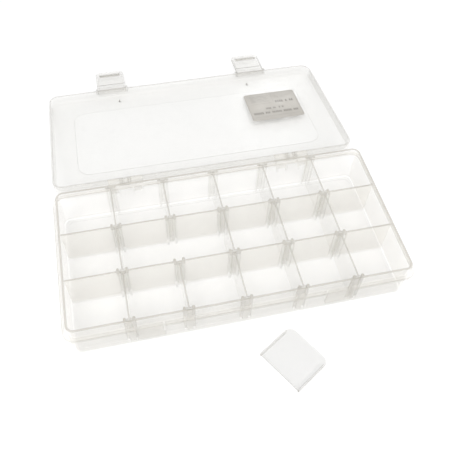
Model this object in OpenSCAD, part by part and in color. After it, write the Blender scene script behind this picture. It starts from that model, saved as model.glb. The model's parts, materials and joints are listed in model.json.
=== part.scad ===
// Parts sorting tray: a shallow clear box with eighteen compartments, a hinged lid,
// two snap latches and dividers that push into channels.
// Frame: +X along the box, +Y towards the lid hinge, +Z up, in millimetres.
// The origin is the centre of the underside of the tray.
// Drawn with the lid laid back behind the tray and one divider taken out.

/* [Compartments] */
// Distance between neighbouring divider positions
col_pitch = 37; // [34:0.5:42]
// Clear depth of one row between its two walls
row_clear = 34.4; // [30:0.2:38]
// Height of the walls above the floor of the tray
wall_h = 29.6; // [28:0.1:34]

/* [Tray] */
// Thickness of the outer walls
wall_t = 1.4; // [1.2:0.1:1.6]
// Thickness of the two lengthwise walls between the rows
row_wall_t = 1.2; // [1:0.1:1.4]
// Thickness of the floor
floor_t = 1.8; // [1.6:0.1:2.2]
// Height of the foot rim under the floor
foot_h = 0.6; // [0.4:0.1:1]
// Radius of the upright inner corners
corner_r = 4; // [3:0.5:6]
// Radius of the bottom outer edge
base_edge_r = 2; // [1:0.5:2.5]
// How far the rim flange stands out from the outer wall
flange_w = 3; // [2.8:0.1:3.4]
// Depth of the top of the flange below the wall tops
flange_drop = 6.8; // [6.4:0.1:7]
// Overall height of the flange skirt
skirt_h = 2.4; // [2:0.1:3]

/* [Divider channels] */
// Width of the slot that takes the edge of a divider
channel_w = 3.8; // [3.6:0.1:4.4]
// Width of each upright rib beside the slot
rib_w = 1.9; // [1.6:0.1:2.2]
// How far each rib stands out from its wall
rib_d = 1.9; // [1.4:0.1:2.2]
// Depth of the notch in the wall top between two ribs
notch_h = 0.6; // [0.3:0.1:1]

/* [Dividers] */
// Thickness of the divider plate
divider_t = 1; // [0.8:0.1:1.2]
// Height of a divider
divider_h = 28.9; // [24:0.1:29.1]
// Width of the strip along each upright edge
strip_w = 3.4; // [2.6:0.1:3.5]
// Thickness of that strip
strip_t = 1; // [0.8:0.1:1.4]
// Radius of the two lower corners
divider_r = 4.6; // [3:0.2:6]
// Space left between each end of a divider and the wall
end_gap = 0.4; // [0.2:0.1:0.6]

/* [Lid] */
// Overall height of the lid
lid_h = 8.2; // [8.1:0.1:8.6]
// Thickness of the lid panel and its rim
lid_t = 1.2; // [1:0.1:1.3]
// Radius of the upright outer corners of the lid
lid_r = 8; // [7:0.5:10]
// Radius of the outer edge all round the top of the lid
lid_edge_r = 2; // [1:0.5:2.5]
// How far the lid goes past 180 degrees when it lies open
open_tilt = 7; // [5:0.5:7]

/* [Hinges] */
// Distance of each hinge from the middle of the box
hinge_x = 63; // [50:1:66]
// Diameter of the hinge pin
hinge_pin_d = 3; // [2.6:0.1:3.2]
// Gap between the two arms that hold the pin
hinge_gap = 8.6; // [8:0.1:12]
// Width of each arm
arm_w = 8.2; // [6:0.1:9]

/* [Latches] */
// Distance of each latch from the middle of the box
latch_x = 62; // [50:1:70]
// Width of a latch
latch_w = 24; // [20:0.5:28]
// Length of a latch from its pin to its free edge
latch_l = 25; // [22:0.5:25.5]
// Thickness of the latch plate
latch_t = 1.6; // [1.4:0.1:1.7]
// Diameter of the latch pin
latch_pin_d = 2.4; // [2:0.1:2.4]
// Width of the strike pad that the latch hooks under
strike_w = 18; // [14:0.5:19]

/* [Label] */
// Length of the label
label_l = 45; // [20:1:60]
// Depth of the label
label_d = 37; // [20:1:45]

/* [Hidden] */
$fn = 48;
COLS = 6;
ROWS = 3;

clear_gap = 0.1;
bore_gap = 0.05;
eps = 0.01;
cut = 1;

// Tray
floor_z = foot_h + floor_t;
wall_top = floor_z + wall_h;
inner_l = COLS * col_pitch;
inner_w = ROWS * row_clear + (ROWS - 1) * row_wall_t;
body_l = inner_l + 2 * wall_t;
body_w = inner_w + 2 * wall_t;
body_r = corner_r + wall_t;
row_pitch = row_clear + row_wall_t;
foot_w = 3.4;

// Rim flange
flange_t = 1.2;
skirt_t = 1;
flange_z = wall_top - flange_drop;
flange_l = body_l + 2 * flange_w;
flange_wid = body_w + 2 * flange_w;

// Lid, closed
lid_over = 0.1;
lid_l = flange_l + 2 * lid_over;
lid_w = flange_wid + 2 * lid_over;
lid_bottom = flange_z + clear_gap;
lid_top = lid_bottom + lid_h;
lid_fillet = 3;
recess_h = 0.3;
recess_l = 193.6;
recess_w = 77;
recess_r = 10;
recess_y = 0.3;
gate_x = 57;
gate_y = -50;
gate_d = 2;

// Hinges
hinge_out = 5;
hinge_drop = 1.3;
hinge_y = lid_w / 2 + hinge_out;
hinge_z = lid_bottom - hinge_drop;
arm_r = 3.2;
arm_wall = 1.3;
arm_drop = 8.6;
arm_foot = 1.2;
arm_root = body_w / 2 - wall_t / 2;
hook_r = 3;
hook_w = 2.4;
hook_side_gap = 0.3;
hook_mouth = 2.6;
web_low = 1.6;
web_high = 4.4;
web_ledge = 1.4;
web_nose = 1;
web_nose_drop = 0.16;
web_back = 1.2;
web_gap = 0.2;
lid_turn = -(180 + open_tilt);

// Latches, closed
latch_pin_out = 2.2;
latch_pin_up = 2.2;
latch_pin_y = -(lid_w / 2 + latch_pin_out);
latch_pin_z = lid_bottom + latch_pin_up;
barrel_r = 2.1;
mouth_w = 1.8;
heel_gap = 0.4;
ear_t = 1.3;
ear_gap = 0.2;
latch_in = 2;
ridge_w = strike_w;
ridge_h = 1.6;
ridge_t = 1.4;
ridge_gap = 0.2;
strike_t = 1.2;
strike_z = 10.9;
ridge_z = strike_z - ridge_gap - ridge_t;
latch_r = 3;
plate_start = 1.2;
latch_rim = 0.5;
latch_rim_w = 1.6;
latch_rim_start = 3;
groove_at = 5.4;
groove_w = 0.5;
groove_h = 0.3;
lip_l = 3;
latch_turn = -90;

// Dividers
strip_len = divider_h - divider_r;
divider_l = row_clear - 2 * end_gap;
rest_gap = 0.05;
loose_at = [24.7, -86, strip_w / 2];
loose_turn = 211;

// Label
label_t = 0.15;
label_r = 2;
label_x = 72;
label_y = -14.9;

plastic = [0.93, 0.94, 0.92, 0.55];
divider_plastic = [0.95, 0.96, 0.96, 0.6];
silver = [0.77, 0.76, 0.74];

// ---------- shared shapes ----------

// Rectangle with four round corners
module round_rect(l, w, r) {
    square([l - 2 * r, w], center = true);
    square([l, w - 2 * r], center = true);
    for (x = [-1, 1])
        for (y = [-1, 1])
            translate([x * (l / 2 - r), y * (w / 2 - r)])
                circle(r);
}

// Upright block with round corners
module slab(l, w, h, r) {
    linear_extrude(h)
        round_rect(l, w, r);
}

// Half outline of a block whose lower edge is rounded, out to a distance d
module edge_outline(d, h, e) {
    square([d - e, h]);
    translate([0, e])
        square([d, h - e]);
    translate([d - e, e])
        circle(e);
}

// Full cross-section of that block
module edge_section(w, h, e) {
    edge_outline(w / 2, h, e);
    mirror([1, 0])
        edge_outline(w / 2, h, e);
}

// Block with round upright corners and a rounded lower edge
module soft_block(l, w, h, r, e) {
    for (x = [-1, 1])
        for (y = [-1, 1])
            translate([x * (l / 2 - r), y * (w / 2 - r), 0])
                rotate_extrude()
                    edge_outline(r, h, e);
    rotate([90, 0, 0])
        linear_extrude(w - 2 * r, center = true)
            edge_section(l, h, e);
    rotate([90, 0, 90])
        linear_extrude(l - 2 * r, center = true)
            edge_section(w, h, e);
}

// Cylinder along X, centred
module rod(d, l) {
    rotate([0, 90, 0])
        cylinder(d = d, h = l, center = true);
}

// Outline in the Y-Z plane, made l long along X and centred
module profile_x(l) {
    rotate([90, 0, 90])
        linear_extrude(l, center = true)
            children();
}

// ---------- tray ----------

// One rib with a round nose, standing out along +Y from y = 0
module rib(h) {
    nose = rib_w / 2;
    linear_extrude(h) {
        translate([-nose, -eps])
            square([rib_w, rib_d - nose + eps]);
        translate([0, rib_d - nose])
            circle(nose);
    }
}

// The two ribs of a channel, standing out along +Y from y = 0
module channel() {
    for (side = [-1, 1])
        translate([side * (channel_w + rib_w) / 2, 0, 0])
            rib(wall_h + eps);
}

// Every channel of the tray: one pair of ribs at each end of each divider place
module channels() {
    for (col = [1 : COLS - 1])
        for (row = [0 : ROWS - 1])
            for (end = [-1, 1])
                translate([
                    (col - COLS / 2) * col_pitch,
                    (row - (ROWS - 1) / 2) * row_pitch + end * row_clear / 2,
                    floor_z - eps
                ])
                    rotate([0, 0, end > 0 ? 180 : 0])
                        channel();
}

// The shallow notches in the wall tops between the ribs
module channel_notches() {
    for (col = [1 : COLS - 1])
        translate([(col - COLS / 2) * col_pitch, 0, wall_top])
            cube([channel_w, inner_w + wall_t, 2 * notch_h], center = true);
}

// The walls between the rows
module row_walls() {
    for (i = [1 : ROWS - 1])
        translate([-inner_l / 2 - eps, (i - ROWS / 2) * row_pitch - row_wall_t / 2, floor_z - eps])
            cube([inner_l + 2 * eps, row_wall_t, wall_h + eps]);
}

// The rim flange with its turned-down skirt
module flange() {
    difference() {
        translate([0, 0, flange_z - skirt_h])
            slab(flange_l, flange_wid, skirt_h, lid_r);
        translate([0, 0, flange_z - skirt_h - eps])
            slab(flange_l - 2 * skirt_t, flange_wid - 2 * skirt_t, skirt_h - flange_t + eps,
                lid_r - skirt_t);
        translate([0, 0, flange_z - skirt_h - cut])
            slab(body_l - eps, body_w - eps, skirt_h + 2 * cut, body_r);
    }
}

// The hollow pad on the front wall that a latch hooks under
module strike_pad() {
    depth = flange_w + wall_t / 2;
    height = flange_z - strike_z;
    front = -flange_wid / 2;
    translate([-strike_w / 2, front, strike_z])
        difference() {
            cube([strike_w, depth, height]);
            translate([strike_t, strike_t, -cut])
                cube([strike_w - 2 * strike_t, depth, height - flange_t + cut]);
        }
}

// Side view of a hinge arm, from the back wall to its round end
module arm_outline() {
    translate([hinge_y, hinge_z])
        circle(arm_r);
    polygon([
        [arm_root, flange_z],
        [flange_wid / 2 + clear_gap, flange_z],
        [hinge_y, hinge_z + arm_r],
        [hinge_y, hinge_z - arm_r],
        [body_w / 2 + arm_foot, flange_z - arm_drop],
        [arm_root, flange_z - arm_drop]
    ]);
}

// The hollow under a hinge arm, which leaves its cheeks and its top
module arm_hollow() {
    top = flange_z - arm_wall - cut;
    bottom = flange_z - arm_drop - 2 * cut;
    polygon([
        [arm_root - cut, top],
        [flange_wid / 2, top],
        [hinge_y - arm_r, hinge_z - arm_r],
        [body_w / 2 + arm_foot, bottom],
        [arm_root - cut, bottom]
    ]);
}

// One hinge bracket: two hollow arms and the pin between them
module hinge_bracket() {
    for (side = [-1, 1])
        translate([side * (hinge_gap + arm_w) / 2, 0, 0])
            difference() {
                profile_x(arm_w)
                    arm_outline();
                profile_x(arm_w - 2 * arm_wall)
                    arm_hollow();
            }
    translate([0, hinge_y, hinge_z])
        rod(hinge_pin_d, hinge_gap + arm_w);
}

// The hollow inside of the tray and the shallow hollow under its floor
module tray_hollows() {
    translate([0, 0, floor_z])
        slab(inner_l, inner_w, wall_h + cut, corner_r);
    translate([0, 0, -cut])
        slab(body_l - 2 * foot_w, body_w - 2 * foot_w, foot_h + cut, corner_r);
}

module tray() {
    color(plastic)
        difference() {
            union() {
                difference() {
                    union() {
                        soft_block(body_l, body_w, wall_top, body_r, base_edge_r);
                        for (x = [-hinge_x, hinge_x])
                            translate([x, 0, 0])
                                hinge_bracket();
                        for (x = [-latch_x, latch_x])
                            translate([x, 0, 0])
                                strike_pad();
                        flange();
                    }
                    tray_hollows();
                }
                row_walls();
                channels();
            }
            channel_notches();
        }
}

// ---------- lid, drawn closed and then swung open about the hinge pins ----------

// Places closed-lid shapes where they lie with the lid open
module swing_open() {
    translate([0, hinge_y, hinge_z])
        rotate([lid_turn, 0, 0])
            translate([0, -hinge_y, -hinge_z])
                children();
}

// The lid panel and rim, as a shallow dish with its open side down
module lid_dish() {
    translate([0, 0, lid_top])
        mirror([0, 0, 1])
            difference() {
                soft_block(lid_l, lid_w, lid_h, lid_r, lid_edge_r);
                translate([0, 0, lid_t])
                    soft_block(lid_l - 2 * lid_t, lid_w - 2 * lid_t, lid_h, lid_r - lid_t, lid_fillet);
            }
}

// Shallow recess in the top of the lid, which takes the label, and two moulding gate marks
module lid_marks() {
    translate([0, recess_y, lid_top - recess_h])
        slab(recess_l, recess_w, recess_h + cut, recess_r);
    for (x = [-gate_x, gate_x])
        translate([x, gate_y, lid_top - recess_h])
            cylinder(d = gate_d, h = recess_h + cut);
}

// Side view of the web that carries the hooks: from the back of the rim to the pin
module hook_web() {
    back = lid_w / 2;
    over_pin = hinge_z + hinge_pin_d / 2 + web_gap;
    polygon([
        [back - lid_t / 2, lid_bottom + web_low],
        [back - lid_t / 2, lid_bottom + web_high],
        [back + web_ledge, lid_bottom + web_high],
        [hinge_y + web_nose, hinge_z + hook_r - web_nose_drop],
        [hinge_y, over_pin],
        [hinge_y - web_back, over_pin]
    ]);
}

// Side view of one open hook that snaps over the pin from above
module hook_ring() {
    translate([hinge_y, hinge_z])
        difference() {
            circle(hook_r);
            circle(hinge_pin_d / 2 + bore_gap);
            translate([-hook_mouth / 2, -hook_r - cut])
                square([hook_mouth, hook_r + cut]);
        }
}

// One lid knuckle: a web with a hook at each end
module lid_knuckle() {
    width = hinge_gap - 2 * hook_side_gap;
    profile_x(width)
        hook_web();
    for (side = [-1, 1])
        translate([side * (width - hook_w) / 2, 0, 0])
            profile_x(hook_w)
                hook_ring();
}

// One latch mount on the front of the lid: two ears and a pin
module latch_mount() {
    for (side = [-1, 1])
        translate([side * (latch_w / 2 + ear_gap + ear_t / 2), 0, 0])
            profile_x(ear_t) {
                translate([latch_pin_y, latch_pin_z])
                    circle(barrel_r);
                translate([latch_pin_y, latch_pin_z - barrel_r])
                    square([-lid_w / 2 + lid_t / 2 - latch_pin_y, 2 * barrel_r]);
            }
    translate([0, latch_pin_y, latch_pin_z])
        rod(latch_pin_d, latch_w + 2 * ear_gap + ear_t);
}

module lid() {
    color(plastic)
        swing_open()
            difference() {
                union() {
                    lid_dish();
                    for (x = [-hinge_x, hinge_x])
                        translate([x, 0, 0])
                            lid_knuckle();
                    for (x = [-latch_x, latch_x])
                        translate([x, 0, 0])
                            latch_mount();
                }
                lid_marks();
            }
}

module label() {
    color(silver)
        swing_open()
            translate([label_x, label_y, lid_top - recess_h])
                slab(label_l, label_d, label_t, label_r);
}

// ---------- latches, drawn hanging closed with the pin axis at the origin ----------

// Barrel that clips over the pin, with its mouth facing up and a heel that stops the latch
module latch_barrel() {
    profile_x(latch_w)
        difference() {
            union() {
                circle(barrel_r);
                translate([-barrel_r, 0])
                    square([barrel_r - heel_gap, barrel_r]);
            }
            circle(latch_pin_d / 2 + bore_gap);
            translate([-mouth_w / 2, 0])
                square([mouth_w, barrel_r + cut]);
        }
}

// Plate of the latch with two round corners at its free edge
module latch_plate() {
    translate([0, latch_in, 0])
        rotate([90, 0, 0])
            linear_extrude(latch_t) {
                translate([-latch_w / 2, -latch_l + latch_r])
                    square([latch_w, latch_l - latch_r - plate_start]);
                translate([-latch_w / 2 + latch_r, -latch_l])
                    square([latch_w - 2 * latch_r, latch_r + eps]);
                for (side = [-1, 1])
                    translate([side * (latch_w / 2 - latch_r), -latch_l + latch_r])
                        circle(latch_r);
            }
}

// Raised rims down both sides of the outer face, and the thicker lip along the free edge
module latch_rims() {
    for (side = [-1, 1])
        translate([side * (latch_w - latch_rim_w) / 2, latch_in - latch_t - latch_rim / 2,
            -(latch_l - latch_r + latch_rim_start) / 2])
            cube([latch_rim_w, latch_rim + eps, latch_l - latch_r - latch_rim_start], center = true);
    translate([0, latch_in - latch_t - latch_rim / 2, -latch_l + lip_l / 2])
        cube([latch_w - 2 * latch_r, latch_rim + eps, lip_l], center = true);
}

// Ridge on the inner face that snaps under the strike pad
module latch_ridge() {
    translate([-ridge_w / 2, latch_in - eps, ridge_z - latch_pin_z])
        cube([ridge_w, ridge_h + eps, ridge_t]);
}

// Groove across the inner face, which lets the plate flex below its barrel
module latch_groove() {
    translate([-latch_w / 2 - cut, latch_in - groove_h, -groove_at])
        cube([latch_w + 2 * cut, groove_h + cut, groove_w]);
}

module latch(x) {
    color(plastic)
        swing_open()
            translate([x, latch_pin_y, latch_pin_z])
                rotate([latch_turn, 0, 0]) {
                    latch_barrel();
                    difference() {
                        latch_plate();
                        latch_groove();
                    }
                    latch_rims();
                    latch_ridge();
                }
}

module latch_left() { latch(-latch_x); }

module latch_right() { latch(latch_x); }

// ---------- dividers ----------

// Divider standing up: thin in X, long in Y, its lower edge at z = 0
module divider() {
    color(divider_plastic) {
        profile_x(divider_t) {
            translate([-divider_l / 2, divider_r])
                square([divider_l, divider_h - divider_r]);
            translate([-divider_l / 2 + divider_r, 0])
                square([divider_l - 2 * divider_r, divider_r + eps]);
            for (side = [-1, 1])
                translate([side * (divider_l / 2 - divider_r), divider_r])
                    circle(divider_r);
        }
        for (side = [-1, 1])
            translate([-strip_w / 2, side * (divider_l - strip_t) / 2 - strip_t / 2, divider_r])
                cube([strip_w, strip_t, strip_len]);
    }
}

// Divider pushed down into place: col counts from the left, row is -1, 0 or 1
module fitted_divider(col, row) {
    translate([(col - COLS / 2) * col_pitch, row * row_pitch, floor_z + rest_gap])
        divider();
}

// Divider lying flat beside the tray, on the edges of its two strips
module divider_loose() {
    translate(loose_at)
        rotate([0, 0, loose_turn])
            rotate([0, 90, 0])
                translate([0, 0, -divider_h / 2])
                    divider();
}

tray();
lid();
label();
latch_left();
latch_right();
fitted_divider(1, 1);  // divider_back_1
fitted_divider(2, 1);  // divider_back_2
fitted_divider(3, 1);  // divider_back_3
fitted_divider(4, 1);  // divider_back_4
fitted_divider(5, 1);  // divider_back_5
fitted_divider(1, 0);  // divider_middle_1
fitted_divider(3, 0);  // divider_middle_3
fitted_divider(4, 0);  // divider_middle_4
fitted_divider(5, 0);  // divider_middle_5
fitted_divider(1, -1);  // divider_front_1
fitted_divider(2, -1);  // divider_front_2
fitted_divider(3, -1);  // divider_front_3
fitted_divider(4, -1);  // divider_front_4
fitted_divider(5, -1);  // divider_front_5
divider_loose();
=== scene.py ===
"""Looks of the parts sorting tray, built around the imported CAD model. Lengths are in metres."""
import json
import math

import bmesh
import bpy
from mathutils import Matrix, Vector
from mathutils.bvhtree import BVHTree
from mathutils.geometry import tessellate_polygon

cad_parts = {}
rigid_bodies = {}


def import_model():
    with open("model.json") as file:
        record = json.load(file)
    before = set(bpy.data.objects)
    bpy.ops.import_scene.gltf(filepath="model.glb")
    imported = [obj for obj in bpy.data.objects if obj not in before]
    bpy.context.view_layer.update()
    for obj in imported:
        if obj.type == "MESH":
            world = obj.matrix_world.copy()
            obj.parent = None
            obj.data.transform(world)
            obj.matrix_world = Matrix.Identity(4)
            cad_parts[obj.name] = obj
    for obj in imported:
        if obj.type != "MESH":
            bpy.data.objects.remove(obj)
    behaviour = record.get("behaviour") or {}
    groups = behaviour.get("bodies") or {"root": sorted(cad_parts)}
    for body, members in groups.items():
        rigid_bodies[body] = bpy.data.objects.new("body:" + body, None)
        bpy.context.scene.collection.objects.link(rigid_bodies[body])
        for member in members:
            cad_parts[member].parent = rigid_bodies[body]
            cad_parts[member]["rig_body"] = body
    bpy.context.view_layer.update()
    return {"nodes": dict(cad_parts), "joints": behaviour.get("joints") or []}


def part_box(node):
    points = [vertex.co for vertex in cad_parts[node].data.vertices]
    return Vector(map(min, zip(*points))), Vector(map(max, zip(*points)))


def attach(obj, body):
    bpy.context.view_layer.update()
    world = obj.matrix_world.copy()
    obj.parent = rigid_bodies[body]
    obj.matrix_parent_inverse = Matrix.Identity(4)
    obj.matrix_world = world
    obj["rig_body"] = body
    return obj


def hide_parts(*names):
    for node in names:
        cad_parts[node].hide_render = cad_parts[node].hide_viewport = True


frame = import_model()

MM = 0.001

# Camera: where it looks, from how far and at what angles
LOOK_AT = Vector((1.2 * MM, 15.1 * MM, 16 * MM))
CAMERA_DISTANCE = 414.8 * MM
CAMERA_TURN = math.radians(14.92)
CAMERA_ELEVATION = math.radians(54.67)
CAMERA_ROLL = math.radians(2.78)
LENS_MM = 46.57
SENSOR_MM = 36
CLIP_START = 10 * MM

# Light
FLOOR_SIZE = 6.0
FLOOR_GAP = 0.02 * MM
FLOOR_COLOUR = (0.95, 0.95, 0.95)
FLOOR_ROUGHNESS = 0.9
WORLD_LIGHT = 0.6
WORLD_SEEN = 1.0
KEY_LIGHT = {"place": (-0.2, -0.72, 1.2), "size": 1.2, "power": 17.9}
GLOSS_LIGHT = {"place": (0.33, 0.99, 0.48), "size": 0.16, "power": 0.9}

# Meshes: welding distance, largest angle of a flat region, smallest angle of an edge that is rounded,
# and smallest angle that still shades as an edge after that
WELD = 0.001 * MM
FLAT_ANGLE = math.radians(0.5)
EDGE_ANGLE = math.radians(32)
SMOOTH_ANGLE = math.radians(50)
EDGE_SEGMENTS = 2

# How the plastic behind a face is measured: most points on it, and how far below it each ray starts
SAMPLES_PER_FACE = 16
SAMPLES_PER_TRIANGLE = 8
SKIN = 0.005 * MM
TINY_AREA = 1e-12

# How much of a face's direction has to lie along an axis for it to count as facing that way
FACES = 0.7
FACES_SQUARELY = 0.9
# Larger faces than this are a whole panel, border or side of a divider
LARGE_FACE = 400 * MM * MM
SLACK = 0.1 * MM

# Where the lid and the latches lie at rest, from their joints
JOINTS = {joint["name"]: joint for joint in frame["joints"]}
HINGE = Vector(JOINTS["lid_hinge"]["pos_m"])
LID_TURN = math.radians(JOINTS["lid_hinge"]["range_deg"][0])
LATCH_TURN = math.radians(JOINTS["latch_left_pivot"]["range_deg"][0])


def turned(about, angle):
    """A turn about the X axis through a point."""
    return Matrix.Translation(about) @ Matrix.Rotation(angle, 4, "X") @ Matrix.Translation(-about)


# From the shut lid's place to where it lies open
OPENED = turned(HINGE, LID_TURN)


# ---------- camera, floor and light ----------

def link(thing):
    bpy.context.scene.collection.objects.link(thing)
    return thing


def make_camera():
    """A camera that looks down at the open tray from the front left."""
    camera = link(bpy.data.objects.new("camera", bpy.data.cameras.new("camera")))
    camera.data.lens = LENS_MM
    camera.data.sensor_width = SENSOR_MM
    camera.data.clip_start = CLIP_START
    level = math.cos(CAMERA_ELEVATION)
    forward = Vector((
        math.sin(CAMERA_TURN) * level,
        math.cos(CAMERA_TURN) * level,
        -math.sin(CAMERA_ELEVATION),
    ))
    turn = forward.to_track_quat("-Z", "Y").to_matrix() @ Matrix.Rotation(CAMERA_ROLL, 3, "Z")
    camera.matrix_world = Matrix.Translation(LOOK_AT - forward * CAMERA_DISTANCE) @ turn.to_4x4()
    bpy.context.scene.camera = camera


def make_floor():
    """A plain, pale table top."""
    half = FLOOR_SIZE / 2
    mesh = bpy.data.meshes.new("floor")
    corners = [(-half, -half), (half, -half), (half, half), (-half, half)]
    mesh.from_pydata([(x, y, -FLOOR_GAP) for x, y in corners], [], [(0, 1, 2, 3)])
    floor = link(bpy.data.objects.new("floor", mesh))
    material = bpy.data.materials.new("floor")
    material.use_nodes = True
    shader = material.node_tree.nodes["Principled BSDF"]
    shader.inputs["Base Color"].default_value = (*FLOOR_COLOUR, 1)
    shader.inputs["Roughness"].default_value = FLOOR_ROUGHNESS
    mesh.materials.append(material)


def make_world():
    """Even light from all round. What the camera sees past the table is as bright as the table."""
    world = bpy.data.worlds.new("studio")
    world.use_nodes = True
    nodes = world.node_tree.nodes
    background = nodes["Background"]
    path = nodes.new("ShaderNodeLightPath")
    strength = nodes.new("ShaderNodeMapRange")
    strength.inputs["To Min"].default_value = WORLD_LIGHT
    strength.inputs["To Max"].default_value = WORLD_SEEN
    world.node_tree.links.new(path.outputs["Is Camera Ray"], strength.inputs["Value"])
    world.node_tree.links.new(strength.outputs["Result"], background.inputs["Strength"])
    background.inputs["Color"].default_value = (1, 1, 1, 1)
    bpy.context.scene.world = world


def make_softbox(name, place, size, power):
    """A square area light at place that faces the middle of the tray."""
    light = bpy.data.lights.new(name, "AREA")
    light.size = size
    light.energy = power
    lamp = link(bpy.data.objects.new(name, light))
    lamp.location = place
    lamp.rotation_euler = (LOOK_AT - Vector(place)).to_track_quat("-Z", "Y").to_euler()


def set_light_paths():
    """Enough steps for light to cross many clear walls."""
    cycles = bpy.context.scene.cycles
    cycles.blur_glossy = 0
    cycles.max_bounces = 16
    cycles.diffuse_bounces = 6
    cycles.transparent_max_bounces = 96


# ---------- materials ----------

class Graph:
    """Short ways to add nodes to a material."""

    def __init__(self, name):
        self.material = bpy.data.materials.new(name)
        self.material.use_nodes = True
        self.tree = self.material.node_tree
        self.shader = self.tree.nodes["Principled BSDF"]

    def put(self, socket, value):
        """Links a socket to another one, or sets it to a number or colour."""
        if isinstance(value, bpy.types.NodeSocket):
            self.tree.links.new(value, socket)
        else:
            socket.default_value = value

    def node(self, kind, output=0, settings=None, **inputs):
        made = self.tree.nodes.new("ShaderNode" + kind)
        for key, value in (settings or {}).items():
            setattr(made, key, value)
        for key, value in inputs.items():
            self.put(made.inputs[key.replace("_", " ")], value)
        return made.outputs[output]

    def math(self, operation, a, b=0.0):
        made = self.tree.nodes.new("ShaderNodeMath")
        made.operation = operation
        self.put(made.inputs[0], a)
        self.put(made.inputs[1], b)
        return made.outputs[0]

    def noise(self, where, scale, detail=2.0, roughness=0.5):
        return self.node("TexNoise", Vector=where, Scale=scale, Detail=detail, Roughness=roughness)

    def between(self, value, low, high, start=0.0, end=1.0):
        """The value's part between start and end, spread from low to high."""
        made = self.tree.nodes.new("ShaderNodeMapRange")
        settings = {"From Min": start, "From Max": end, "To Min": low, "To Max": high}
        for name, setting in settings.items():
            made.inputs[name].default_value = setting
        self.put(made.inputs["Value"], value)
        return made.outputs["Result"]

    def spread(self, noise, low, high):
        """A noise, with the part of its range that it really uses spread from low to high."""
        return self.between(noise, low, high, NOISE_LOW, NOISE_HIGH)

    def blend(self, share, first, second):
        """A colour between two colours."""
        made = self.tree.nodes.new("ShaderNodeMix")
        made.data_type = "RGBA"
        self.put(made.inputs["Factor"], share)
        for socket, value in ((made.inputs[6], first), (made.inputs[7], second)):
            self.put(socket, value if isinstance(value, bpy.types.NodeSocket) else (*value, 1))
        return made.outputs[2]


def lighter(colour, by):
    return tuple(min(1.0, part * by) for part in colour)


# Plastic: how close together the spots of each noise are, per metre
CLOUD_SCALE = 55.0
FLOW_SCALE = (700.0, 700.0, 22.0)
SPECKLE_SCALE = 900.0
GLOSS_SCALE = 140.0
GRAIN_SCALE = 2600.0
WAVE_SCALE = 40.0
# Nearly all of a noise's values lie between these two
NOISE_LOW = 0.3
NOISE_HIGH = 0.7
SPECKLE = 0.012
PLASTIC_IOR = 1.49
PLASTIC_SPECULAR = 0.8


def plastic(name, colour, opacity, roughness, cloud=0.035, streak=0.0, grain=0.3, foot=None, fade=(1, 13)):
    """Milky moulded plastic: soft clouds, drawn-out flow marks, uneven gloss and a fine mould grain.
    Each face is a thin layer of it with this opacity. foot is a colour that it turns to towards the
    floor of the tray, between the two heights of fade above that floor, in mm."""
    g = Graph(name)
    where = g.node("TexCoord", output=3)
    clouds = g.noise(where, CLOUD_SCALE, 3.0)
    flow = g.noise(g.node("Mapping", Vector=where, Scale=FLOW_SCALE), 1.0, 2.0)
    speckle = g.noise(where, SPECKLE_SCALE, 2.0)
    shade = g.math("ADD", g.spread(clouds, -cloud, cloud), g.spread(flow, -streak, streak))
    shade = g.math("ADD", shade, g.spread(speckle, -SPECKLE, SPECKLE))
    share = g.between(shade, 0.0, 1.0, -0.1, 0.1)
    tone = g.blend(share, lighter(colour, 0.9), lighter(colour, 1.1))
    if foot:
        height = g.node("SeparateXYZ", output=2, Vector=where)
        share = g.between(height, 0.0, 1.0, FLOOR_Z + fade[0] * MM, FLOOR_Z + fade[1] * MM)
        tone = g.blend(share, foot, tone)
    g.put(g.shader.inputs["Base Color"], tone)
    gloss = g.noise(where, GLOSS_SCALE, 3.0)
    g.put(g.shader.inputs["Roughness"], g.spread(gloss, roughness - 0.07, roughness + 0.09))
    fine = g.noise(where, GRAIN_SCALE, 2.0, 0.6)
    wavy = g.noise(where, WAVE_SCALE, 1.0)
    bumps = g.math("ADD", g.math("MULTIPLY", fine, grain), wavy)
    g.put(g.shader.inputs["Normal"], g.node("Bump", Strength=0.35, Distance=0.05 * MM, Height=bumps))
    g.shader.inputs["Alpha"].default_value = opacity
    g.shader.inputs["IOR"].default_value = PLASTIC_IOR
    g.shader.inputs["Specular IOR Level"].default_value = PLASTIC_SPECULAR
    return g.material


# Rows of print on the label: middle and half height along it, start and end across it, marks, strength
PRINT_ROWS = [
    (0.885, 0.011, 0.09, 0.47, 34, 0.55),
    (0.835, 0.011, 0.11, 0.44, 30, 0.55),
    (0.785, 0.011, 0.10, 0.46, 33, 0.55),
    (0.735, 0.011, 0.11, 0.41, 28, 0.55),
    (0.685, 0.011, 0.10, 0.45, 31, 0.55),
    (0.835, 0.011, 0.57, 0.88, 27, 0.3),
    (0.785, 0.011, 0.57, 0.80, 20, 0.3),
    (0.625, 0.042, 0.56, 0.92, 9, 0.85),
    (0.405, 0.034, 0.33, 0.68, 12, 0.75),
    (0.250, 0.038, 0.06, 0.93, 27, 0.8),
]
# Thin printed lines: middle and half size across the label, then along it
PRINT_LINES = [
    (0.525, 0.003, 0.77, 0.15),
    (0.28, 0.2, 0.60, 0.004),
    (0.5, 0.42, 0.12, 0.004),
]
LINE_STRENGTH = 0.45
MARK_WIDTH = 0.74
WORD_GAPS = 0.16
SEED_STEP = 40.0
BRUSH_SCALE = (60.0, 2600.0, 2600.0)
SHEEN_SCALE = 70.0
FOIL_METALLIC = 0.15


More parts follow.
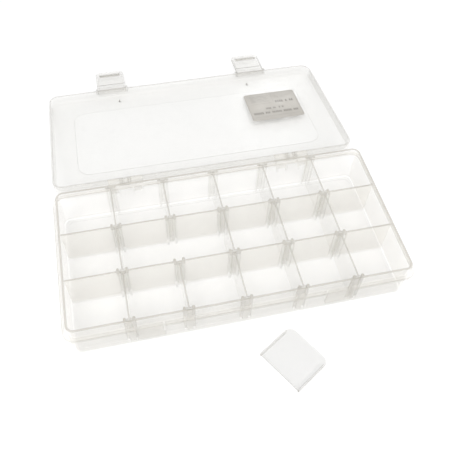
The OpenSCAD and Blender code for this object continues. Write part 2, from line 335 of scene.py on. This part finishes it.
def inked(g, across, along, row, seed):
    """Where one row of the label's print puts ink: short blocks with gaps between them, no letters."""
    middle, half, start, end, marks, strength = row
    inside = g.math("LESS_THAN", g.math("ABSOLUTE", g.math("SUBTRACT", along, middle)), half)
    reach = g.math("ABSOLUTE", g.math("SUBTRACT", across, (start + end) / 2))
    inside = g.math("MULTIPLY", inside, g.math("LESS_THAN", reach, (end - start) / 2))
    place = g.math("MULTIPLY", across, marks / (end - start))
    mark = g.math("LESS_THAN", g.math("FRACT", place), MARK_WIDTH)
    cell = g.math("ADD", g.math("FLOOR", place), seed)
    chance = g.node("TexWhiteNoise", settings={"noise_dimensions": "1D"}, W=cell)
    kept = g.math("GREATER_THAN", chance, WORD_GAPS)
    return g.math("MULTIPLY", g.math("MULTIPLY", inside, strength), g.math("MULTIPLY", mark, kept))


def foil(name, colour, ink):
    """Satin silver-grey label stock with generic print: blocks and thin lines."""
    g = Graph(name)
    place = g.node("UVMap", settings={"uv_map": LABEL_UV})
    split = g.tree.nodes.new("ShaderNodeSeparateXYZ")
    g.put(split.inputs[0], place)
    across, along = split.outputs[0], split.outputs[1]
    amount = 0.0
    for seed, row in enumerate(PRINT_ROWS):
        amount = g.math("MAXIMUM", amount, inked(g, across, along, row, SEED_STEP * seed))
    for middle, half, height, tall in PRINT_LINES:
        beside = g.math("LESS_THAN", g.math("ABSOLUTE", g.math("SUBTRACT", across, middle)), half)
        level = g.math("LESS_THAN", g.math("ABSOLUTE", g.math("SUBTRACT", along, height)), tall)
        line = g.math("MULTIPLY", g.math("MULTIPLY", beside, level), LINE_STRENGTH)
        amount = g.math("MAXIMUM", amount, line)
    where = g.node("TexCoord", output=3)
    brushed = g.noise(g.node("Mapping", Vector=where, Scale=BRUSH_SCALE), 1.0, 3.0)
    clouds = g.noise(where, SHEEN_SCALE, 2.0)
    sheen = g.math("ADD", g.spread(brushed, -0.3, 0.3), g.spread(clouds, -0.5, 0.5))
    share = g.between(sheen, 0.0, 1.0, -0.8, 0.8)
    tone = g.blend(share, lighter(colour, 0.95), lighter(colour, 1.06))
    g.put(g.shader.inputs["Base Color"], g.blend(amount, tone, ink))
    g.put(g.shader.inputs["Roughness"], g.spread(brushed, 0.34, 0.5))
    g.put(g.shader.inputs["Normal"], g.node("Bump", Strength=0.2, Distance=0.02 * MM, Height=brushed))
    g.shader.inputs["Metallic"].default_value = FOIL_METALLIC
    return g.material


# ---------- meshes ----------

def sample_points(face):
    """Points spread evenly over a face, each with the area that it stands for."""
    corners = [v.co for v in face.verts]
    whole = face.calc_area()
    samples = []
    for triangle in tessellate_polygon([corners]):
        a, b, c = (corners[i] for i in triangle)
        area = (b - a).cross(c - a).length / 2
        count = min(SAMPLES_PER_TRIANGLE, math.ceil(SAMPLES_PER_FACE * area / max(whole, TINY_AREA)))
        for i in range(count):
            u, v = (i + 0.5) / count, (0.5 + 0.618 * i) % 1
            if u + v > 1:
                u, v = 1 - u, 1 - v
            samples.append((a + (b - a) * u + (c - a) * v, area / count))
    return samples


def deep_share(face, tree, limit):
    """The share of a face that has more plastic behind it than the limit."""
    deep = total = 0.0
    for point, area in sample_points(face):
        hit = tree.ray_cast(point - face.normal * SKIN, -face.normal)
        total += area
        if hit[0] is not None and hit[3] > limit:
            deep += area
    return deep / total if total else 0.0


def stands_out(face):
    """True for a rounded-off outer edge, false for the fillet of an inner one."""
    total = 0.0
    for edge in face.edges:
        if edge.is_manifold:
            total += edge.calc_length() * (1 if edge.is_convex else -1)
    return total > 0


def extent(face, axis):
    places = [v.co[axis] for v in face.verts]
    return max(places) - min(places)


def welded(source):
    """A CAD node's mesh, as one connected surface."""
    bm = bmesh.new()
    bm.from_mesh(source.data)
    bmesh.ops.remove_doubles(bm, verts=bm.verts[:], dist=WELD)
    return bm


def merge_flat(bm):
    """Makes each flat region one face."""
    bmesh.ops.dissolve_limit(bm, angle_limit=FLAT_ANGLE, verts=bm.verts[:], edges=bm.edges[:])
    bm.normal_update()


def round_edges(bm, width):
    """Rounds off the sharp edges and gives back the new faces."""
    sharp = [e for e in bm.edges if e.is_manifold and e.calc_face_angle() > EDGE_ANGLE]
    made = bmesh.ops.bevel(bm, geom=sharp, offset=width, offset_type="OFFSET", segments=EDGE_SEGMENTS,
                           profile=0.5, affect="EDGES", clamp_overlap=False, material=-1)
    bm.normal_update()
    return [face for face in made["faces"] if face.is_valid]


def split_large(bm):
    bmesh.ops.triangulate(bm, faces=[f for f in bm.faces if len(f.verts) > 4])


def moulded(node, palette, kind_of, deep_limit, width, lined):
    """The node's shape with its edges rounded off over a width. kind_of(face, deep) names the material
    of each of its faces, and lined(face) says which rounded outer edges show as a thin dark line: painted
    shade along those edges."""
    kinds = list(palette)
    source = frame["nodes"][node]
    bm = welded(source)
    tree = BVHTree.FromBMesh(bm)
    merge_flat(bm)
    # Faces with much plastic behind them count as deep; kind_of gives most of them a darker material,
    # painted shade along the tops of walls and rims.
    for face in bm.faces:
        deep = deep_share(face, tree, deep_limit) > 0.5
        face.material_index = kinds.index(kind_of(face, deep))
        face.smooth = True
    # Outer edge bevels picked by lined() get the dark line material: painted shade along the edge.
    for face in round_edges(bm, width):
        if stands_out(face) and lined(face):
            face.material_index = kinds.index("line")
    split_large(bm)
    mesh = bpy.data.meshes.new(node + "_moulded")
    bm.to_mesh(mesh)
    bm.free()
    mesh.set_sharp_from_angle(angle=SMOOTH_ANGLE)
    for kind in kinds:
        mesh.materials.append(palette[kind])
    piece = link(bpy.data.objects.new(node + "_moulded", mesh))
    weighted = piece.modifiers.new("weighted_normals", "WEIGHTED_NORMAL")
    weighted.keep_sharp = True
    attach(piece, source["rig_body"])
    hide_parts(node)
    return piece


def everywhere(face):
    return True


# ---------- tray ----------

FITTED = sorted(name for name in frame["nodes"] if name.startswith("divider_") and name != "divider_loose")
# The middles of the dividers across the tray, and the tray's inner floor
COLUMNS = sorted({round(sum(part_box(name), Vector()).x / 2, 5) for name in FITTED})
FLOOR_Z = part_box("divider_front_1")[0].z
FLOOR_REACH = 0.5 * MM
# Channel ribs: how far their sides lie from a column, how wide each face is and how tall at least
RIB_HALF = 3.9 * MM
RIB_FACE = 4.4 * MM
RIB_HEIGHT = 10 * MM
# Along Y: inner face of the back wall, outer and inner face of the front wall, the skirt in front of it
BACK_Y = 40 * MM
FRONT_Y = -54 * MM
INNER_FRONT_Y = -48 * MM
SKIRT_Y = -57 * MM
# Up Z: the skirt's foot, and above the foot rim
SKIRT_Z = 15 * MM
ABOVE_FOOT = 8 * MM
# Faces of the foot rim lie lower than this and are less than twice as tall
FOOT_RIM = 1 * MM
# The ends of the strike pads and of the skirt are taller than this
PAD_EDGE = 3 * MM
# Long edges above this height are drawn as dark lines: painted shade along the edge
LINES_FROM = 20 * MM
LONG_EDGE = 30 * MM
UPWARD_EDGE = 0.3
# Ribs turn to this lighter colour towards the floor, where their painted shade eases off. Those at the
# front do so over these heights, in mm
RIB_FOOT = (0.66, 0.645, 0.6)
FRONT_FADE = (14, 18)
TRAY_DEEP = 12 * MM
TRAY_ROUND = 0.12 * MM


def tray_kind(face, deep):
    centre = face.calc_center_bounds()
    normal = face.normal
    if abs(normal.z) > FACES_SQUARELY and centre.z < FLOOR_Z + FLOOR_REACH:
        return "floor" if normal.z > 0 else "base"
    # Upward faces with deep plastic behind them, the tops of walls, get a dark colour: painted shade.
    if normal.z > FACES:
        return "deep" if deep else "wall"
    if centre.z < FOOT_RIM and extent(face, 2) < 2 * FOOT_RIM:
        return "faint"
    tall = extent(face, 2) > RIB_HEIGHT and centre.z > FLOOR_Z
    off_column = min(abs(centre.x - column) for column in COLUMNS)
    if tall and off_column < RIB_HALF and extent(face, 0) < RIB_FACE:
        in_front = centre.y < INNER_FRONT_Y
        if abs(normal.x) > FACES:
            return "side" if in_front else "flank"
        return "rib" if in_front else "post"
    if tall and abs(normal.y) > FACES and centre.y > BACK_Y:
        return "back"
    # Downward faces and the ends of the strike pads get a darker colour: painted shade.
    if centre.z > ABOVE_FOOT and normal.z < -FACES:
        return "under"
    if centre.y < SKIRT_Y and abs(normal.x) > FACES and extent(face, 2) > PAD_EDGE:
        return "under"
    if centre.y < FRONT_Y:
        return "skirt" if centre.z > SKIRT_Z else "front"
    if tall and centre.y < INNER_FRONT_Y and normal.y > FACES:
        return "inner"
    return "wall"


def tray_lined(face):
    """Upward edges, and the long edges of the flange."""
    if face.normal.z > UPWARD_EDGE:
        return True
    longest = max(extent(face, 0), extent(face, 1))
    return face.calc_center_median().z > LINES_FROM and longest > LONG_EDGE


def make_tray():
    # One plastic in lit and shaded copies. The tones and opacities by direction and place are painted
    # light and shade. The darker under, front, skirt, post, rib, side and flank faces and the dark deep
    # and line faces are painted shade.
    palette = {
        "wall": plastic("tray_wall", (0.8, 0.768, 0.7), 0.18, 0.36, streak=0.03),
        "front": plastic("tray_front", (0.69, 0.672, 0.628), 0.28, 0.36, streak=0.03),
        "skirt": plastic("tray_skirt", (0.61, 0.587, 0.537), 0.21, 0.36, streak=0.03),
        "under": plastic("tray_under_shade", (0.46, 0.44, 0.4), 0.14, 0.36),
        "back": plastic("tray_back", (0.8, 0.78, 0.735), 0.11, 0.36, streak=0.03),
        "flank": plastic("tray_flank", (0.6, 0.58, 0.5), 0.13, 0.36, streak=0.02),
        "faint": plastic("tray_faint", (0.85, 0.84, 0.81), 0.03, 0.3),
        "floor": plastic("tray_floor", (0.66, 0.653, 0.628), 0.04, 0.28),
        "base": plastic("tray_base", (0.66, 0.652, 0.624), 0.212, 0.28),
        "inner": plastic("tray_inner", (0.72, 0.7, 0.65), 0.05, 0.36, streak=0.03),
        "post": plastic("tray_post", (0.55, 0.53, 0.455), 0.25, 0.36, streak=0.02, foot=RIB_FOOT),
        "rib": plastic("tray_rib", (0.45, 0.43, 0.37), 0.4, 0.36, streak=0.02, foot=RIB_FOOT,
                       fade=FRONT_FADE),
        "side": plastic("tray_side", (0.42, 0.4, 0.35), 0.35, 0.36),
        "deep": plastic("tray_deep_shade", (0.46, 0.435, 0.385), 0.55, 0.4),
        "line": plastic("tray_line_shade", (0.34, 0.32, 0.28), 0.85, 0.3),
    }
    piece = moulded("tray", palette, tray_kind, TRAY_DEEP, TRAY_ROUND, tray_lined)


# ---------- lid ----------

# The lid's outer face, on the shut lid
LID_TOP = max((OPENED.inverted() @ v.co).z for v in frame["nodes"]["lid"].data.vertices)
LID_DEEP = 8.1 * MM
LID_ROUND = 0.2 * MM
# The gate scars, on the shut lid
GATE_X = 57 * MM
GATE_Y = -50 * MM
GATE_LENGTH = 4.2 * MM
GATE_WIDTH = 1 * MM
GATE_TAPER = 0.45
GATE_BEND = 0.25 * MM
GATE_SIDES = 20
# How far below the lid's outer face each ring of a scar lies, and how wide it is
GATE_LEVELS = [(0.35 * MM, 1.0), (0.2 * MM, 0.92), (0.1 * MM, 0.6)]


def lid_kind(face, deep):
    """Directions and places are the shut lid's, but what looks deep depends on how it lies open."""
    shut = OPENED.inverted().to_3x3() @ face.normal
    centre = OPENED.inverted() @ face.calc_center_bounds()
    if abs(shut.z) > FACES_SQUARELY and face.calc_area() > LARGE_FACE:
        return "border" if centre.z > LID_TOP - SLACK else "panel"
    if deep and face.normal.z > FACES:
        return "deep"
    # The long end faces get a darker colour: painted shade.
    return "end" if abs(shut.x) > FACES and extent(face, 1) > LONG_EDGE else "wall"


def make_lid():
    # One plastic in lit and shaded copies: the darker end faces and the dark deep and line faces are
    # painted shade.
    palette = {
        "wall": plastic("lid_wall", (0.66, 0.645, 0.6), 0.15, 0.34),
        "end": plastic("lid_end_shade", (0.54, 0.522, 0.475), 0.25, 0.34),
        "panel": plastic("lid_panel", (0.7, 0.697, 0.668), 0.14, 0.22, grain=0.1),
        "border": plastic("lid_border", (0.67, 0.66, 0.618), 0.15, 0.38, grain=0.5),
        "deep": plastic("lid_deep_shade", (0.46, 0.44, 0.395), 0.55, 0.4),
        "line": plastic("lid_line_shade", (0.36, 0.345, 0.31), 0.8, 0.3),
    }
    piece = moulded("lid", palette, lid_kind, LID_DEEP, LID_ROUND, everywhere)


def make_gate_marks():
    """The two drop-shaped scars on the lid where the plastic came into the mould."""
    # Their dark colour is painted shade: it stands for each scar together with its shadow on the table
    # below.
    material = plastic("gate_mark", (0.22, 0.205, 0.17), 0.6, 0.3, streak=0.05)
    for side in (-1, 1):
        bm = bmesh.new()
        rings = []
        for level, grow in GATE_LEVELS:
            ring = []
            for i in range(GATE_SIDES):
                angle = 2 * math.pi * i / GATE_SIDES
                along = math.cos(angle)
                width = GATE_WIDTH / 2 * grow * (1 + GATE_TAPER * along) / (1 + GATE_TAPER)
                bend = GATE_BEND * along * along
                spot = Vector((
                    side * GATE_X + math.sin(angle) * width + bend,
                    GATE_Y + along * grow * GATE_LENGTH / 2,
                    LID_TOP - level,
                ))
                ring.append(bm.verts.new(OPENED @ spot))
            rings.append(ring)
        for low, high in zip(rings, rings[1:]):
            for i in range(GATE_SIDES):
                after = (i + 1) % GATE_SIDES
                bm.faces.new((low[i], low[after], high[after], high[i]))
        bm.faces.new(rings[0])
        bm.faces.new(rings[-1])
        bmesh.ops.recalc_face_normals(bm, faces=bm.faces[:])
        name = "gate_mark_right" if side > 0 else "gate_mark_left"
        mesh = bpy.data.meshes.new(name)
        bm.to_mesh(mesh)
        bm.free()
        mesh.shade_smooth()
        mesh.materials.append(material)
        mark = link(bpy.data.objects.new(name, mesh))
        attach(mark, "lid")


# ---------- latches ----------

# Along Y from the pin: the plate's two faces. Down Z from it: the barrel's end and the groove
PLATE_INNER = 2 * MM
PLATE_OUTER = 0.4 * MM
BARREL_END = 3 * MM
GROOVE_AT = 5.4 * MM
GROOVE_REACH = 0.5 * MM
GROOVE_LENGTH = 8 * MM
GROOVE_AREA = 14 * MM * MM
LIP_LENGTH = 10 * MM
SIDE_AREA = 4 * MM * MM
FACES_ASIDE = 0.8
LATCH_DEEP = 8.1 * MM
LATCH_ROUND = 0.12 * MM


def latch_kind(name):
    """How a latch's faces are told apart, in the frame of its own pin with its plate hanging down."""
    pin = Vector(JOINTS[name + "_pivot"]["pos_m"])
    hanging = Matrix.Rotation(-(LID_TURN + LATCH_TURN), 3, "X")

    def kind(face, deep):
        centre = hanging @ (face.calc_center_bounds() - pin)
        area = face.calc_area()
        long = extent(face, 0)
        on_plate = centre.z < -BARREL_END
        in_groove = abs(centre.z + GROOVE_AT) < GROOVE_REACH
        # Faces in the groove get the dark line material: a painted shadow line across the plate.
        if in_groove and long > GROOVE_LENGTH and area < GROOVE_AREA:
            return "line"
        # The plate's sides and the ridge get darker colours: painted shade on their shadowed faces.
        if abs(face.normal.x) > FACES_ASIDE and on_plate and area > SIDE_AREA:
            return "side"
        if on_plate and centre.y > PLATE_INNER + SLACK:
            return "ridge"
        if on_plate and centre.y < PLATE_OUTER - SLACK and long > LIP_LENGTH:
            return "lip"
        if centre.z > -BARREL_END:
            return "barrel"
        return "deep" if deep else "wall"
    return kind


def make_latches():
    palette = {
        # One plastic in lit and shaded copies: the darker ridge and side faces, the dark groove and edge
        # lines and the deep faces are painted shade; the barrel is a lighter copy.
        "wall": plastic("latch_wall", (0.76, 0.75, 0.715), 0.19, 0.34),
        "lip": plastic("latch_lip", (0.7, 0.68, 0.63), 0.35, 0.34),
        "ridge": plastic("latch_ridge", (0.46, 0.44, 0.4), 0.45, 0.34),
        "side": plastic("latch_side", (0.42, 0.405, 0.37), 0.55, 0.34),
        "barrel": plastic("latch_barrel", (0.72, 0.7, 0.66), 0.1, 0.34),
        "deep": plastic("latch_deep_shade", (0.7, 0.685, 0.65), 0.2, 0.4),
        "line": plastic("latch_line_shade", (0.36, 0.35, 0.33), 0.65, 0.3),
    }
    for name in ("latch_left", "latch_right"):
        piece = moulded(name, palette, latch_kind(name), LATCH_DEEP, LATCH_ROUND, everywhere)


# ---------- dividers ----------

TOP_EDGE_LENGTH = 28 * MM
STRIP_LENGTH = 20 * MM
STRIP_WIDTH = 3.6 * MM
DIVIDER_DEEP = 12 * MM
DIVIDER_ROUND = 0.1 * MM


def divider_kind(lying):
    """The top edge is the longer of the two deep faces. The strips at the ends are narrow and long."""
    def kind(face, deep):
        if deep:
            longest = max(extent(face, axis) for axis in range(3))
            return "deep" if longest > TOP_EDGE_LENGTH else "wall"
        if lying and abs(face.normal.z) > FACES_SQUARELY and face.calc_area() > LARGE_FACE:
            return "lying"
        long = max((face.verts[0].co - v.co).length for v in face.verts)
        if long > STRIP_LENGTH and face.calc_area() / long < STRIP_WIDTH:
            return "strip"
        return "wall"
    return kind


def upright_lined(face):
    return face.normal.z > UPWARD_EDGE


def lying_lined(face):
    return face.normal.z > -UPWARD_EDGE


def make_dividers():
    # One plastic in lit and shaded copies: the dark deep and line faces and the darker strips are painted
    # shade.
    palette = {
        "wall": plastic("divider_wall", (0.84, 0.83, 0.8), 0.1, 0.34, streak=0.02),
        "strip": plastic("divider_strip", (0.8, 0.785, 0.75), 0.1, 0.34),
        "deep": plastic("divider_deep_shade", (0.44, 0.42, 0.38), 0.55, 0.4),
        "line": plastic("divider_line_shade", (0.4, 0.385, 0.35), 0.6, 0.3),
    }
    lying = dict(palette)
    # The lying divider gets darker, more opaque tones for how it lies in the light: painted shade.
    lying["lying"] = plastic("divider_lying", (0.54, 0.538, 0.525), 0.165, 0.34, streak=0.02)
    lying["strip"] = plastic("divider_lying_strip", (0.64, 0.632, 0.612), 0.3, 0.34)
    for name in FITTED:
        piece = moulded(name, palette, divider_kind(False), DIVIDER_DEEP, DIVIDER_ROUND, upright_lined)
    piece = moulded("divider_loose", lying, divider_kind(True), DIVIDER_DEEP, DIVIDER_ROUND, lying_lined)


# ---------- label ----------

LABEL_UV = "label"
LABEL_EMBED = 0.02 * MM
LABEL_ROUND = 0.04 * MM
FOIL_COLOUR = (0.44, 0.414, 0.374)
INK_COLOUR = (0.13, 0.115, 0.095)


def make_label():
    """A thin slab with round corners, pressed a hair into the lid, with its print laid out by a UV map."""
    source = frame["nodes"]["label"]
    middle = OPENED.inverted() @ (sum(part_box("label"), Vector()) / 2)
    shut = [OPENED.inverted() @ v.co for v in source.data.vertices]
    half_l = max(abs(p.x - middle.x) for p in shut)
    half_d = max(abs(p.y - middle.y) for p in shut)
    bm = welded(source)
    merge_flat(bm)
    round_edges(bm, LABEL_ROUND)
    split_large(bm)
    layout = bm.loops.layers.uv.new(LABEL_UV)
    for face in bm.faces:
        face.smooth = True
        for loop in face.loops:
            at = OPENED.inverted() @ loop.vert.co
            across = (at.x - middle.x) / half_l
            along = (at.y - middle.y) / half_d
            loop[layout].uv = (0.5 + across / 2, 0.5 - along / 2)
    inward = OPENED.to_3x3() @ Vector((0, 0, -LABEL_EMBED))
    bmesh.ops.translate(bm, verts=bm.verts[:], vec=inward)
    mesh = bpy.data.meshes.new("label_foil")
    bm.to_mesh(mesh)
    bm.free()
    mesh.set_sharp_from_angle(angle=SMOOTH_ANGLE)
    mesh.materials.append(foil("label_foil", FOIL_COLOUR, INK_COLOUR))
    piece = link(bpy.data.objects.new("label_foil", mesh))
    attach(piece, source["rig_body"])
    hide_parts("label")


# ---------- everything ----------

make_camera()
make_floor()
make_world()
make_softbox("key", **KEY_LIGHT)
make_softbox("gloss", **GLOSS_LIGHT)
set_light_paths()
bpy.context.scene.view_settings.view_transform = "Standard"

make_tray()
make_lid()
make_gate_marks()
make_latches()
make_dividers()
make_label()
